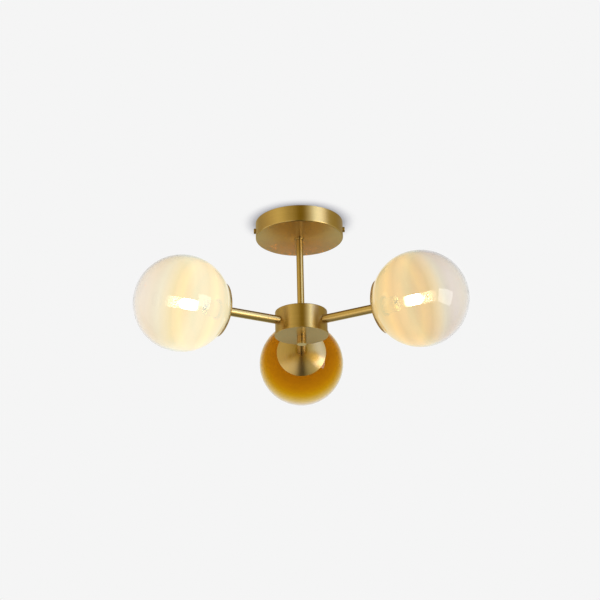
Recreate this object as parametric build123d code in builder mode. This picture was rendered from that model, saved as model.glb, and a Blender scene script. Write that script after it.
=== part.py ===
from build123d import *
import math
import os

# Semi-flush ceiling light: a round canopy, a stem, a drum-shaped hub and three level arms, each with a
# dished saucer and a screw-on glass globe round a two-pin capsule lamp. Millimetres, +Z up. The origin is
# the centre of the ceiling plane that the canopy rim and the bracket lie against, so the light hangs below.

# ---- Driving dimensions -------------------------------------------------------------------------------

canopy_diameter = 120
canopy_height = 23
canopy_wall = 1.0
canopy_edge_radius = 1.5

bracket_thickness = 1.5
bracket_width = 20
bracket_wall_gap = 1.5  # from the ear to the canopy wall
bracket_hole_diameter = 10.5  # for the supply cable
bracket_corner_radius = 1.2
ear_width = 14
ear_depth = 15
slot_spacing = 60
slot_length = 22
slot_width = 5
tab_width = 28
tab_reach = 20  # out from the strap's edge

canopy_screw_drop = 10  # screw axis below the ceiling
canopy_screw_diameter = 4
canopy_screw_length = 9
canopy_screw_head_diameter = 7.4
canopy_screw_head_height = 2.7
screw_slot_width = 1.1
screw_slot_depth = 1.2
head_edge_radius = 0.5

earth_screw_diameter = 4
earth_screw_head_diameter = 7
earth_screw_head_height = 2.4
earth_screw_inset = 7.5  # from the bracket's end

block_width = 28
block_depth = 18
block_height = 12
block_pole_pitch = 9
block_hole_diameter = 3.4
block_hole_drop = 6.5  # from the block's top to the wires
block_well_diameter = 3.6
block_well_spacing = 9
block_edge_radius = 0.8
block_screw_diameter = 3
block_screw_head_diameter = 5.4
block_screw_head_height = 1.8
terminal_screw_diameter = 3
terminal_screw_length = 3
terminal_slot_width = 0.6
terminal_slot_depth = 1.0

stem_diameter = 9.5
stem_bore = 5.5
stem_thread_diameter = 8
stem_thread_above_nut = 1.5
stem_thread_in_cap = 8
stem_window_width = 5
stem_window_height = 8
stem_window_rise = 4.5  # window centre above the arm plane
stem_window_corner = 1.0
stem_nut_across_flats = 13
stem_nut_height = 4
washer_diameter = 16
washer_thickness = 1.0
collar_diameter = 12.6
collar_height = 2
collar_edge_radius = 0.3

arm_plane_drop = 147  # arm axes below the ceiling
hub_diameter = 70
hub_height = 34  # drum top to cover underside, centred on the arm plane
hub_wall = 1.2
hub_edge_radius = 0.8
cover_diameter = 72
cover_plate = 1.0
cover_rim_height = 4
cover_edge_radius = 0.4
cap_nut_diameter = 13
cap_nut_height = 12
cap_nut_hole_spare = 1.0
cap_nut_edge_radius = 0.6
earth_tag_thickness = 0.8
earth_tag_diameter = 14.5
earth_tag_width = 5
earth_tag_reach = 12.5

arm_angles = (90, 210, 330)
arm_diameter = 11.5
arm_bore = 7
arm_thread_diameter = 10
arm_thread_past_nut = 2.0
arm_thread_in_sleeve = 3.2
arm_nut_across_flats = 14
arm_nut_height = 3

globe_reach = 174.5  # fixture axis to globe centre
globe_diameter = 123.5
globe_wall = 2.0
mouth_lip_depth = 9  # how far the threaded mouth reaches into the globe
mouth_edge_radius = 0.5

gasket_thickness = 0.6
gasket_inner_diameter = 33
gasket_outer_diameter = 48

saucer_diameter = 71
saucer_thickness = 0.9
saucer_flat_diameter = 18
saucer_edge_radius = 0.3

sleeve_diameter = 27.4
sleeve_bore = 22.4
sleeve_length = 11
sleeve_floor = 1.5
sleeve_boss_diameter = 16
sleeve_boss_height = 2

socket_diameter = 21
socket_face_setback = 33  # globe centre to the socket's front face
socket_edge_radius = 0.8
pinch_recess_depth = 3.3
pin_slot_width = 2.4
pin_slot_length = 5.6
pin_slot_depth = 11

bulb_diameter = 13.5
bulb_wall = 1.0
bulb_back_setback = 21  # globe centre to the back of the capsule
bulb_dome_front = 4  # globe centre to the front of the dome
bulb_tip_diameter = 2.6
bulb_tip_length = 2.5
pinch_width = 14
pinch_thickness = 4
pinch_edge_radius = 0.8
pin_pitch = 9
pin_loop_width = 3.4
pin_wire_diameter = 0.8
pin_length = 8
filament_diameter = 2
filament_length = 14
lead_diameter = 0.7
lead_embed = 0.3

contact_thickness = 0.4
contact_length = 9
contact_width = 4.8

wire_diameter = 1.8
wire_bend_radius = 2.5
wire_spacing = 2.4  # between the two wires in an arm
connector_diameter = 10
connector_bore = 7
connector_height = 10
connector_floor = 2
connector_edge_radius = 1.0

thread_clearance = 0.1  # radial, at threads within the fixed assembly
through_clearance = 0.2  # radial, at plain holes round a thread
moving_clearance = 0.3  # between faces of pieces that move apart
contact_clearance = 0.1  # each side of a lamp pin in its contact
sheet_clearance = 0.2  # round the drum, inside the cover's rim

# ---- Places worked out from them ----------------------------------------------------------------------

arm_z = -arm_plane_drop
hub_top_z = arm_z + hub_height / 2
hub_bottom_z = arm_z - hub_height / 2
hub_radius = hub_diameter / 2
hub_inner_radius = hub_radius - hub_wall
canopy_floor_z = canopy_wall - canopy_height
canopy_nut_z = canopy_floor_z + washer_thickness
hub_tag_z = hub_top_z - hub_wall - earth_tag_thickness
stem_top_z = canopy_nut_z + stem_nut_height + stem_thread_above_nut
stem_bottom_z = hub_bottom_z - stem_thread_in_cap

bracket_length = canopy_diameter - 2 * canopy_wall - 2 * bracket_wall_gap
earth_screw_reach = bracket_length / 2 - earth_screw_inset
block_y = bracket_width / 2 + tab_reach - block_depth / 2
block_top_z = -bracket_thickness
block_wire_z = block_top_z - block_hole_drop
wall_screw_x = canopy_diameter / 2

globe_radius = globe_diameter / 2
saucer_inner_radius = globe_radius + gasket_thickness + 2 * moving_clearance
saucer_outer_radius = saucer_inner_radius + saucer_thickness
saucer_flat_radius = saucer_flat_diameter / 2
saucer_back_u = -math.sqrt(saucer_outer_radius**2 - saucer_flat_radius**2)
saucer_seat_u = -math.sqrt(saucer_inner_radius**2 - saucer_flat_radius**2)
mouth_radius = sleeve_diameter / 2 + moving_clearance
mouth_neck_radius = mouth_radius + globe_wall
mouth_face_u = -math.sqrt(globe_radius**2 - mouth_neck_radius**2)
sleeve_back_u = saucer_seat_u + sleeve_boss_height
socket_back_u = sleeve_back_u + sleeve_floor
socket_front_u = -socket_face_setback
pinch_seat_u = socket_front_u - pinch_recess_depth
pinch_end_u = pinch_seat_u + moving_clearance
pinch_face_u = -bulb_back_setback + bulb_wall
arm_nut_corner = arm_nut_across_flats / math.sqrt(3)
arm_nut_face = math.sqrt(hub_inner_radius**2 - (arm_nut_corner + through_clearance) ** 2)
arm_inner_end = arm_nut_face - arm_nut_height - arm_thread_past_nut
socket_back_reach = globe_reach + socket_back_u


def across_arm(angle, reach=0.0):
    """Plane square to an arm: its normal points outward and its local Y points up."""
    turn = math.radians(angle)
    outward = Vector(math.cos(turn), math.sin(turn), 0)
    sideways = Vector(-math.sin(turn), math.cos(turn), 0)
    return Plane(origin=outward * reach + Vector(0, 0, arm_z), x_dir=sideways, z_dir=outward)


def along_arm(angle):
    """Plane through an arm's axis with the globe's centre as origin: local X outward, local Y up."""
    across = across_arm(angle, globe_reach)
    return Plane(origin=across.origin, x_dir=across.z_dir, z_dir=-across.x_dir)


def arm_axis(angle):
    across = across_arm(angle, globe_reach)
    return Axis(across.origin, across.z_dir)


def on_sphere(radius, distance):
    """Angle in degrees, from the globe's hub side, of the point on a sphere at this distance off its axis."""
    return math.degrees(math.asin(distance / radius))


def on_arm(angle, reach, rise):
    """Point on an arm at this reach from the fixture axis and this height over the arm plane."""
    turn = math.radians(angle)
    return (reach * math.cos(turn), reach * math.sin(turn), arm_z + rise)


os.makedirs("parts", exist_ok=True)

# ---- Ceiling end --------------------------------------------------------------------------------------

with BuildPart() as canopy:
    with BuildSketch(Plane.XY.offset(-canopy_height)):
        Circle(canopy_diameter / 2)
    extrude(amount=canopy_height)
    fillet(canopy.edges().group_by(Axis.Z)[0], radius=canopy_edge_radius)
    offset(amount=-canopy_wall, openings=canopy.faces().sort_by(Axis.Z)[-1])
    with BuildSketch(Plane.XY.offset(-canopy_height)):
        Circle(stem_thread_diameter / 2 + through_clearance)
    extrude(amount=canopy_height, mode=Mode.SUBTRACT)
    with BuildSketch(Plane.YZ):
        with Locations((0, -canopy_screw_drop)):
            Circle(canopy_screw_diameter / 2 + through_clearance)
    extrude(amount=canopy_diameter, both=True, mode=Mode.SUBTRACT)
canopy.part.label = "canopy"
export_step(canopy.part, "parts/canopy.step")

with BuildPart() as ceiling_bracket:
    with BuildSketch(Plane.XY.offset(-bracket_thickness)):
        Rectangle(bracket_length, bracket_width)
        with Locations((0, block_y)):
            Rectangle(tab_width, block_depth)
        with Locations((0, bracket_width / 2 + (tab_reach - block_depth) / 2)):
            Rectangle(tab_width, tab_reach - block_depth)
        with GridLocations(slot_spacing, 0, 2, 1):
            SlotOverall(slot_length, slot_width, mode=Mode.SUBTRACT)
        Circle(bracket_hole_diameter / 2, mode=Mode.SUBTRACT)
        with Locations((-earth_screw_reach, 0)):
            Circle(earth_screw_diameter / 2 + thread_clearance, mode=Mode.SUBTRACT)
        with Locations((block_pole_pitch / 2, block_y)):
            Circle(block_screw_diameter / 2 + thread_clearance, mode=Mode.SUBTRACT)
    extrude(amount=bracket_thickness)
    with BuildSketch(Plane.YZ.offset(bracket_length / 2)):
        with Locations((0, -ear_depth / 2)):
            Rectangle(ear_width, ear_depth)
        with Locations((0, -canopy_screw_drop)):
            Circle(canopy_screw_diameter / 2 + thread_clearance, mode=Mode.SUBTRACT)
    extrude(amount=-bracket_thickness)
    with BuildSketch(Plane.YZ.offset(-bracket_length / 2)):
        with Locations((0, -ear_depth / 2)):
            Rectangle(ear_width, ear_depth)
        with Locations((0, -canopy_screw_drop)):
            Circle(canopy_screw_diameter / 2 + thread_clearance, mode=Mode.SUBTRACT)
    extrude(amount=bracket_thickness)
    top_edges = ceiling_bracket.faces().sort_by(Axis.Z)[-1].edges()
    bend_edges = top_edges.filter_by(Axis.Y).group_by(Axis.X)
    fillet([bend_edges[0][0], bend_edges[-1][0]], radius=bracket_corner_radius)
ceiling_bracket.part.label = "ceiling_bracket"
export_step(ceiling_bracket.part, "parts/ceiling_bracket.step")

with BuildPart() as canopy_screws:
    with BuildSketch(Plane.YZ.offset(wall_screw_x)):
        with Locations((0, -canopy_screw_drop)):
            Circle(canopy_screw_head_diameter / 2)
    extrude(amount=canopy_screw_head_height)
    fillet(canopy_screws.edges().sort_by(Axis.X)[-1], radius=head_edge_radius)
    with BuildSketch(Plane.YZ.offset(wall_screw_x)):
        with Locations((0, -canopy_screw_drop)):
            Circle(canopy_screw_diameter / 2)
    extrude(amount=-canopy_screw_length)
    with BuildSketch(Plane.YZ.offset(wall_screw_x + canopy_screw_head_height)):
        with Locations((0, -canopy_screw_drop)):
            Rectangle(screw_slot_width, canopy_screw_head_diameter)
    extrude(amount=-screw_slot_depth, mode=Mode.SUBTRACT)
    mirror(about=Plane.YZ)
canopy_screws.part.label = "canopy_screws"
export_step(canopy_screws.part, "parts/canopy_screws.step")

with BuildPart() as earth_screw:
    with BuildSketch(Plane.XY.offset(-bracket_thickness)):
        with Locations((-earth_screw_reach, 0)):
            Circle(earth_screw_head_diameter / 2)
    extrude(amount=-earth_screw_head_height)
    fillet(earth_screw.edges().sort_by(Axis.Z)[0], radius=head_edge_radius)
    with BuildSketch(Plane.XY.offset(-bracket_thickness)):
        with Locations((-earth_screw_reach, 0)):
            Circle(earth_screw_diameter / 2)
    extrude(amount=bracket_thickness - moving_clearance)
    with BuildSketch(Plane.XY.offset(-bracket_thickness - earth_screw_head_height)):
        with Locations((-earth_screw_reach, 0)):
            Rectangle(earth_screw_head_diameter, screw_slot_width)
    extrude(amount=screw_slot_depth, mode=Mode.SUBTRACT)
earth_screw.part.label = "earth_screw"
export_step(earth_screw.part, "parts/earth_screw.step")

with BuildPart() as terminal_block:
    with BuildSketch(Plane.XY.offset(block_top_z)):
        with Locations((0, block_y)):
            Rectangle(block_width, block_depth)
    extrude(amount=-block_height)
    fillet(terminal_block.edges().filter_by(Axis.Z), radius=block_edge_radius)
    with BuildSketch(Plane.XZ.offset(-block_y)):
        with Locations((0, block_wire_z)):
            with GridLocations(block_pole_pitch, 0, 3, 1):
                Circle(block_hole_diameter / 2)
    extrude(amount=block_depth, both=True, mode=Mode.SUBTRACT)
    with BuildSketch(Plane.XY.offset(block_top_z - block_height)):
        with Locations((0, block_y)):
            with GridLocations(block_pole_pitch, block_well_spacing, 3, 2):
                Circle(block_well_diameter / 2)
    extrude(amount=block_height - block_hole_drop, mode=Mode.SUBTRACT)
    with BuildSketch(Plane.XY.offset(block_top_z)):
        with Locations((block_pole_pitch / 2, block_y)):
            Circle(block_screw_diameter / 2 + through_clearance)
    extrude(amount=-block_height, mode=Mode.SUBTRACT)
terminal_block.part.label = "terminal_block"
export_step(terminal_block.part, "parts/terminal_block.step")

with BuildPart() as terminal_screws:
    with BuildSketch(Plane.XY.offset(block_wire_z - wire_diameter / 2 - moving_clearance)):
        with Locations((0, block_y)):
            with GridLocations(block_pole_pitch, block_well_spacing, 3, 2):
                Circle(terminal_screw_diameter / 2)
    extrude(amount=-terminal_screw_length)
    well_mouths = Plane.XY.offset(block_wire_z - wire_diameter / 2 - moving_clearance - terminal_screw_length)
    with BuildSketch(well_mouths):
        with Locations((0, block_y)):
            with GridLocations(block_pole_pitch, block_well_spacing, 3, 2):
                Rectangle(terminal_screw_diameter, terminal_slot_width)
    extrude(amount=terminal_slot_depth, mode=Mode.SUBTRACT)
terminal_screws.part.label = "terminal_screws"
export_step(terminal_screws.part, "parts/terminal_screws.step")

with BuildPart() as block_screw:
    with BuildSketch(Plane.XY.offset(block_top_z - block_height)):
        with Locations((block_pole_pitch / 2, block_y)):
            Circle(block_screw_head_diameter / 2)
    extrude(amount=-block_screw_head_height)
    fillet(block_screw.edges().sort_by(Axis.Z)[0], radius=head_edge_radius)
    with BuildSketch(Plane.XY.offset(block_top_z - block_height)):
        with Locations((block_pole_pitch / 2, block_y)):
            Circle(block_screw_diameter / 2)
    extrude(amount=block_height + bracket_thickness - moving_clearance)
    with BuildSketch(Plane.XY.offset(block_top_z - block_height - block_screw_head_height)):
        with Locations((block_pole_pitch / 2, block_y)):
            Rectangle(block_screw_head_diameter, screw_slot_width)
    extrude(amount=screw_slot_depth, mode=Mode.SUBTRACT)
block_screw.part.label = "block_screw"
export_step(block_screw.part, "parts/block_screw.step")

# ---- Stem ---------------------------------------------------------------------------------------------

with BuildPart() as stem_tube:
    with BuildSketch(Plane.XY.offset(hub_top_z)):
        Circle(stem_diameter / 2)
    extrude(amount=-canopy_height - hub_top_z)
    with BuildSketch(Plane.XY.offset(stem_bottom_z)):
        Circle(stem_thread_diameter / 2)
    extrude(amount=stem_top_z - stem_bottom_z)
    with BuildSketch(Plane.XY.offset(stem_bottom_z)):
        Circle(stem_bore / 2)
    extrude(amount=stem_top_z - stem_bottom_z, mode=Mode.SUBTRACT)
    with BuildSketch(Plane.XZ):
        with Locations((0, arm_z + stem_window_rise)):
            RectangleRounded(stem_window_width, stem_window_height, stem_window_corner)
    extrude(amount=stem_thread_diameter, mode=Mode.SUBTRACT)
stem_tube.part.label = "stem_tube"
export_step(stem_tube.part, "parts/stem_tube.step")

with BuildPart() as stem_collar:
    with BuildSketch(Plane.XY.offset(-canopy_height)):
        Circle(collar_diameter / 2)
        Circle(stem_diameter / 2 + thread_clearance, mode=Mode.SUBTRACT)
    extrude(amount=-collar_height)
    fillet(stem_collar.edges().group_by(Axis.Z)[0], radius=collar_edge_radius)
stem_collar.part.label = "stem_collar"
export_step(stem_collar.part, "parts/stem_collar.step")

with BuildPart() as canopy_washer:
    with BuildSketch(Plane.XY.offset(canopy_floor_z)):
        Circle(washer_diameter / 2)
        Circle(stem_thread_diameter / 2 + thread_clearance, mode=Mode.SUBTRACT)
    extrude(amount=washer_thickness)
canopy_washer.part.label = "canopy_washer"
export_step(canopy_washer.part, "parts/canopy_washer.step")

with BuildPart() as canopy_nut:
    with BuildSketch(Plane.XY.offset(canopy_nut_z)):
        RegularPolygon(stem_nut_across_flats / 2, 6, major_radius=False)
        Circle(stem_thread_diameter / 2 + thread_clearance, mode=Mode.SUBTRACT)
    extrude(amount=stem_nut_height)
canopy_nut.part.label = "canopy_nut"
export_step(canopy_nut.part, "parts/canopy_nut.step")

# ---- Hub ----------------------------------------------------------------------------------------------

with BuildPart() as hub_drum:
    with BuildSketch(Plane.XY.offset(hub_bottom_z + cover_plate)):
        Circle(hub_radius)
    extrude(amount=hub_height - cover_plate)
    fillet(hub_drum.edges().group_by(Axis.Z)[-1], radius=hub_edge_radius)
    with BuildSketch(Plane.XY.offset(hub_bottom_z + cover_plate)):
        Circle(hub_inner_radius)
    extrude(amount=hub_height - cover_plate - hub_wall, mode=Mode.SUBTRACT)
    with BuildSketch(Plane.XY.offset(hub_top_z)):
        Circle(stem_thread_diameter / 2 + through_clearance)
    extrude(amount=-hub_wall, mode=Mode.SUBTRACT)
    for arm_angle in arm_angles:
        with BuildSketch(across_arm(arm_angle)):
            Circle(arm_thread_diameter / 2 + through_clearance)
        extrude(amount=hub_diameter, mode=Mode.SUBTRACT)
hub_drum.part.label = "hub_drum"
export_step(hub_drum.part, "parts/hub_drum.step")

with BuildPart() as hub_cover:
    with BuildSketch(Plane.XY.offset(hub_bottom_z)):
        Circle(cover_diameter / 2)
    extrude(amount=cover_rim_height)
    fillet(hub_cover.edges().group_by(Axis.Z)[0], radius=cover_edge_radius)
    with BuildSketch(Plane.XY.offset(hub_bottom_z + cover_plate)):
        Circle(hub_radius + sheet_clearance)
    extrude(amount=cover_rim_height, mode=Mode.SUBTRACT)
    with BuildSketch(Plane.XY.offset(hub_bottom_z)):
        Circle(stem_thread_diameter / 2 + through_clearance)
    extrude(amount=cover_plate, mode=Mode.SUBTRACT)
hub_cover.part.label = "hub_cover"
export_step(hub_cover.part, "parts/hub_cover.step")

with BuildPart() as cap_nut:
    with BuildSketch(Plane.XY.offset(hub_bottom_z)):
        Circle(cap_nut_diameter / 2)
    extrude(amount=-cap_nut_height)
    fillet(cap_nut.edges().group_by(Axis.Z)[0], radius=cap_nut_edge_radius)
    with BuildSketch(Plane.XY.offset(hub_bottom_z)):
        Circle(stem_thread_diameter / 2 + thread_clearance)
    extrude(amount=-stem_thread_in_cap - cap_nut_hole_spare, mode=Mode.SUBTRACT)
cap_nut.part.label = "cap_nut"
export_step(cap_nut.part, "parts/cap_nut.step")

with BuildPart() as hub_earth_tag:
    with BuildSketch(Plane.XY.offset(hub_tag_z)):
        Circle(earth_tag_diameter / 2)
        with Locations((0, -earth_tag_reach / 2)):
            Rectangle(earth_tag_width, earth_tag_reach)
        Circle(stem_thread_diameter / 2 + thread_clearance, mode=Mode.SUBTRACT)
    extrude(amount=earth_tag_thickness)
hub_earth_tag.part.label = "hub_earth_tag"
export_step(hub_earth_tag.part, "parts/hub_earth_tag.step")

with BuildPart() as hub_nut:
    with BuildSketch(Plane.XY.offset(hub_tag_z)):
        RegularPolygon(stem_nut_across_flats / 2, 6, major_radius=False)
        Circle(stem_thread_diameter / 2 + thread_clearance, mode=Mode.SUBTRACT)
    extrude(amount=-stem_nut_height)
hub_nut.part.label = "hub_nut"
export_step(hub_nut.part, "parts/hub_nut.step")

with BuildPart() as arm_nuts:
    for arm_angle in arm_angles:
        with BuildSketch(across_arm(arm_angle, arm_nut_face)):
            RegularPolygon(arm_nut_across_flats / 2, 6, major_radius=False)
            Circle(arm_thread_diameter / 2 + thread_clearance, mode=Mode.SUBTRACT)
        extrude(amount=-arm_nut_height)
arm_nuts.part.label = "arm_nuts"
export_step(arm_nuts.part, "parts/arm_nuts.step")

# ---- Wiring -------------------------------------------------------------------------------------------

# The joints stand side by side in the front of the hub, live on the right and neutral on the left.
joint_x = 8.5
joint_y = -18.5
joint_step = 1.3
joint_mouth_rise = -6.0
joint_end_rise = -11.0

# The supply wires share the stem's bore, leave it by the window and turn over into the terminal block.
stem_wire_x = 1.17
stem_wire_y = -0.68
earth_wire_y = 1.35
stem_wire_rise = 6.0
earth_wire_rise = 2.0
window_exit_y = -8.0
earth_riser_y = -9.5
block_entry_lead = 2
block_entry_y = block_y - block_depth / 2 - block_entry_lead
block_wire_end_y = block_y + wire_diameter

# Each arm's wires run to both joints on their own heights over the arm plane, so that they pass clear.
turn_reach = 22
crossing_reach = 20
crossing_x = 4
crossing_y = -16
crossing_rise = 1.5
back_side_x = 11
back_side_y = 6
back_side_rise = 3.5
round_stem_x = 12.5
round_stem_y = -6
round_stem_rise = 4.5


def stem_wire_route(side):
    """Route of the live (side 1) or neutral (side -1) supply wire, from the block down to its joint."""
    joint_wire_x = side * (joint_x - joint_step)
    joint_wire_y = joint_y + joint_step
    return [
        (side * block_pole_pitch, block_wire_end_y, block_wire_z),
        (side * block_pole_pitch, block_entry_y, block_wire_z),
        (side * stem_wire_x, stem_wire_y, block_wire_z),
        (side * stem_wire_x, stem_wire_y, arm_z + stem_wire_rise),
        (side * stem_wire_x, window_exit_y, arm_z + stem_wire_rise),
        (joint_wire_x, joint_wire_y, arm_z + stem_wire_rise),
        (joint_wire_x, joint_wire_y, arm_z + joint_end_rise),
    ]


def into_joint(side, step_x, step_y, rise):
    """The last two points of a route: over its place in the joint, then down into it."""
    x = side * (joint_x + step_x)
    y = joint_y + step_y
    return [(x, y, arm_z + rise), (x, y, arm_z + joint_end_rise)]


def near_route(angle, side, rise):
    """Route from a front arm's lampholder to the joint on its own side."""
    start = [on_arm(angle, socket_back_reach, rise), on_arm(angle, turn_reach, rise)]
    return start + into_joint(side, joint_step, joint_step, rise)


def far_route(angle, side, rise, cross_rise):
    """Route from a front arm's lampholder, across the hub's front, to the joint on the other side."""
    start = [on_arm(angle, socket_back_reach, rise), on_arm(angle, crossing_reach, rise)]
    crossing = [(-side * crossing_x, crossing_y, arm_z + cross_rise)]
    return start + crossing + into_joint(side, -joint_step, -joint_step, cross_rise)


def back_route(angle, side, rise):
    """Route from the back arm's lampholder, round the stem on one side, to the joint there."""
    return [
        on_arm(angle, socket_back_reach, rise),
        on_arm(angle, turn_reach, rise),
        (side * back_side_x, back_side_y, arm_z + back_side_rise),
        (side * round_stem_x, round_stem_y, arm_z + round_stem_rise),
    ] + into_joint(side, joint_step, -joint_step, round_stem_rise)


live_rise = wire_spacing / 2
neutral_rise = -wire_spacing / 2
back_angle, left_angle, right_angle = arm_angles
arm_routes = {
    back_angle: (back_route(back_angle, 1, live_rise), back_route(back_angle, -1, neutral_rise)),
    left_angle: (
        far_route(left_angle, 1, live_rise, crossing_rise),
        near_route(left_angle, -1, neutral_rise),
    ),
    right_angle: (
        near_route(right_angle, 1, live_rise),
        far_route(right_angle, -1, neutral_rise, -crossing_rise),
    ),
}

with BuildPart() as live_wire:
    with BuildLine() as live_path:
        FilletPolyline(*stem_wire_route(1), radius=wire_bend_radius)
    with BuildSketch(Plane(origin=live_path.line @ 0, z_dir=live_path.line % 0)):
        Circle(wire_diameter / 2)
    sweep()
live_wire.part.label = "live_wire"
export_step(live_wire.part, "parts/live_wire.step")

with BuildPart() as neutral_wire:
    with BuildLine() as neutral_path:
        FilletPolyline(*stem_wire_route(-1), radius=wire_bend_radius)
    with BuildSketch(Plane(origin=neutral_path.line @ 0, z_dir=neutral_path.line % 0)):
        Circle(wire_diameter / 2)
    sweep()
neutral_wire.part.label = "neutral_wire"
export_step(neutral_wire.part, "parts/neutral_wire.step")

earth_route = [
    (0, block_wire_end_y, block_wire_z),
    (0, earth_wire_y, block_wire_z),
    (0, earth_wire_y, arm_z + earth_wire_rise),
    (0, earth_riser_y, arm_z + earth_wire_rise),
    (0, earth_riser_y, hub_tag_z),
]
with BuildPart() as earth_wire:
    with BuildLine() as earth_path:
        FilletPolyline(*earth_route, radius=wire_bend_radius)
    with BuildSketch(Plane(origin=earth_path.line @ 0, z_dir=earth_path.line % 0)):
        Circle(wire_diameter / 2)
    sweep()
earth_wire.part.label = "earth_wire"
export_step(earth_wire.part, "parts/earth_wire.step")

with BuildPart() as wire_connectors:
    with BuildSketch(Plane.XY.offset(arm_z + joint_mouth_rise)):
        with Locations((joint_x, joint_y), (-joint_x, joint_y)):
            Circle(connector_diameter / 2)
    extrude(amount=-connector_height + moving_clearance)
    fillet(wire_connectors.edges().group_by(Axis.Z)[0], radius=connector_edge_radius)
    with BuildSketch(Plane.XY.offset(arm_z + joint_mouth_rise)):
        with Locations((joint_x, joint_y), (-joint_x, joint_y)):
            Circle(connector_bore / 2)
    extrude(amount=-connector_height + connector_floor, mode=Mode.SUBTRACT)
wire_connectors.part.label = "wire_connectors"
export_step(wire_connectors.part, "parts/wire_connectors.step")

# ---- Arms, lampholders, lamps and globes ----------------------------------------------------------------

for number, angle in enumerate(arm_angles, start=1):
    profile_plane = along_arm(angle)
    axis = arm_axis(angle)

    with BuildPart() as arm:
        with BuildSketch(across_arm(angle)):
            Circle(arm_diameter / 2)
        extrude(amount=globe_reach + saucer_back_u)
        with Locations((0, 0, arm_z)):
            Cylinder(hub_radius, hub_height, mode=Mode.SUBTRACT)
        with BuildSketch(across_arm(angle, arm_inner_end)):
            Circle(arm_thread_diameter / 2)
        extrude(amount=globe_reach + saucer_seat_u + arm_thread_in_sleeve - arm_inner_end)
        with BuildSketch(across_arm(angle)):
            Circle(arm_bore / 2)
        extrude(amount=globe_reach, mode=Mode.SUBTRACT)
    arm.part.label = f"arm_{number}"
    export_step(arm.part, f"parts/arm_{number}.step")

    with BuildPart() as arm_wires:
        for wire_route in arm_routes[angle]:
            with BuildLine() as wire_path:
                FilletPolyline(*wire_route, radius=wire_bend_radius)
            with BuildSketch(Plane(origin=wire_path.line @ 0, z_dir=wire_path.line % 0)):
                Circle(wire_diameter / 2)
            sweep()
    arm_wires.part.label = f"arm_wires_{number}"
    export_step(arm_wires.part, f"parts/arm_wires_{number}.step")

    rim_angle = on_sphere(saucer_outer_radius, saucer_diameter / 2)
    outer_flat_angle = on_sphere(saucer_outer_radius, saucer_flat_radius)
    inner_flat_angle = on_sphere(saucer_inner_radius, saucer_flat_radius)
    hole_radius = arm_thread_diameter / 2 + through_clearance
    with BuildPart() as saucer:
        with BuildSketch(profile_plane):
            with BuildLine():
                outer = CenterArc((0, 0), saucer_outer_radius, 180 - rim_angle, rim_angle - outer_flat_angle)
                inner = CenterArc((0, 0), saucer_inner_radius, 180 - rim_angle, rim_angle - inner_flat_angle)
                Line(outer @ 0, inner @ 0)
                Polyline(
                    outer @ 1,
                    (saucer_back_u, hole_radius),
                    (saucer_seat_u, hole_radius),
                    inner @ 1,
                )
            make_face()
        revolve(axis=axis)
        rings = saucer.edges().filter_by(lambda edge: edge.is_closed)
        fillet(rings.sort_by(lambda edge: edge.radius)[-2:], radius=saucer_edge_radius)
    saucer.part.label = f"saucer_{number}"
    export_step(saucer.part, f"parts/saucer_{number}.step")

    with BuildPart() as lamp_sleeve:
        with BuildSketch(across_arm(angle, globe_reach + saucer_seat_u)):
            Circle(sleeve_boss_diameter / 2)
        extrude(amount=sleeve_boss_height)
        with BuildSketch(across_arm(angle, globe_reach + sleeve_back_u)):
            Circle(sleeve_diameter / 2)
        extrude(amount=sleeve_length)
        with BuildSketch(across_arm(angle, globe_reach + socket_back_u)):
            Circle(sleeve_bore / 2)
        extrude(amount=sleeve_length, mode=Mode.SUBTRACT)
        with BuildSketch(across_arm(angle, globe_reach + saucer_seat_u)):
            Circle(arm_thread_diameter / 2 + thread_clearance)
        extrude(amount=sleeve_length, mode=Mode.SUBTRACT)
    lamp_sleeve.part.label = f"lamp_sleeve_{number}"
    export_step(lamp_sleeve.part, f"parts/lamp_sleeve_{number}.step")

    with BuildPart() as socket:
        with BuildSketch(across_arm(angle, globe_reach + socket_back_u)):
            Circle(socket_diameter / 2)
        extrude(amount=socket_front_u - socket_back_u)
        fillet(socket.edges().filter_by(lambda edge: edge.is_closed).sort_by(axis)[-1], radius=socket_edge_radius)
        with BuildSketch(across_arm(angle, globe_reach + socket_front_u)):
            Rectangle(pinch_width + 2 * moving_clearance, pinch_thickness + 2 * moving_clearance)
        extrude(amount=-pinch_recess_depth, mode=Mode.SUBTRACT)
        with BuildSketch(across_arm(angle, globe_reach + pinch_seat_u)):
            with GridLocations(pin_pitch, 0, 2, 1):
                Rectangle(pin_slot_length, pin_slot_width)
        extrude(amount=-pin_slot_depth, mode=Mode.SUBTRACT)
    socket.part.label = f"socket_{number}"
    export_step(socket.part, f"parts/socket_{number}.step")

    # Two spring leaves either side of each lamp pin, joined at the bottom of the slot.
    leaf_gap = pin_wire_diameter + 2 * contact_clearance
    with BuildPart() as contacts:
        with BuildSketch(across_arm(angle, globe_reach + pinch_seat_u - pin_slot_depth)):
            with GridLocations(pin_pitch, 0, 2, 1):
                Rectangle(contact_width, leaf_gap + 2 * contact_thickness)
        extrude(amount=contact_length + contact_thickness)
        with BuildSketch(across_arm(angle, globe_reach + pinch_seat_u - pin_slot_depth + contact_thickness)):
            with GridLocations(pin_pitch, 0, 2, 1):
                Rectangle(contact_width, leaf_gap)
        extrude(amount=contact_length, mode=Mode.SUBTRACT)
    contacts.part.label = f"contacts_{number}"
    export_step(contacts.part, f"parts/contacts_{number}.step")

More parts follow.
